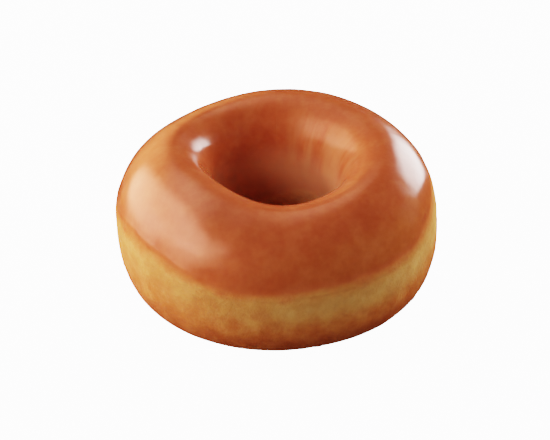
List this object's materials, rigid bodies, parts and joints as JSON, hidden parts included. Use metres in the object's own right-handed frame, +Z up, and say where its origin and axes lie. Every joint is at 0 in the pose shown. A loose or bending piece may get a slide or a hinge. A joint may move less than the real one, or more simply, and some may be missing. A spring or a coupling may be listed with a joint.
{
  "type": "ring doughnut",
  "caption": "Yeast-raised ring doughnut with a thin clear glaze, browned on top and underneath, with a pale band round its side.",
  "frame": {"origin": "under the middle of the ring's outer box, on the surface that the ring rests on", "axes": "+Z up through the hole, -Y towards the front that the picture shows, +X to the picture's right"},
  "size_m": [0.09, 0.087, 0.0415],
  "materials": {
    "crust": "fried crust, red-brown on top under a thin clear sugar glaze, pale gold round the side, brown underneath"
  },
  "bodies": {
    "root": {"doughnut": "crust"}
  },
  "joints": []
}
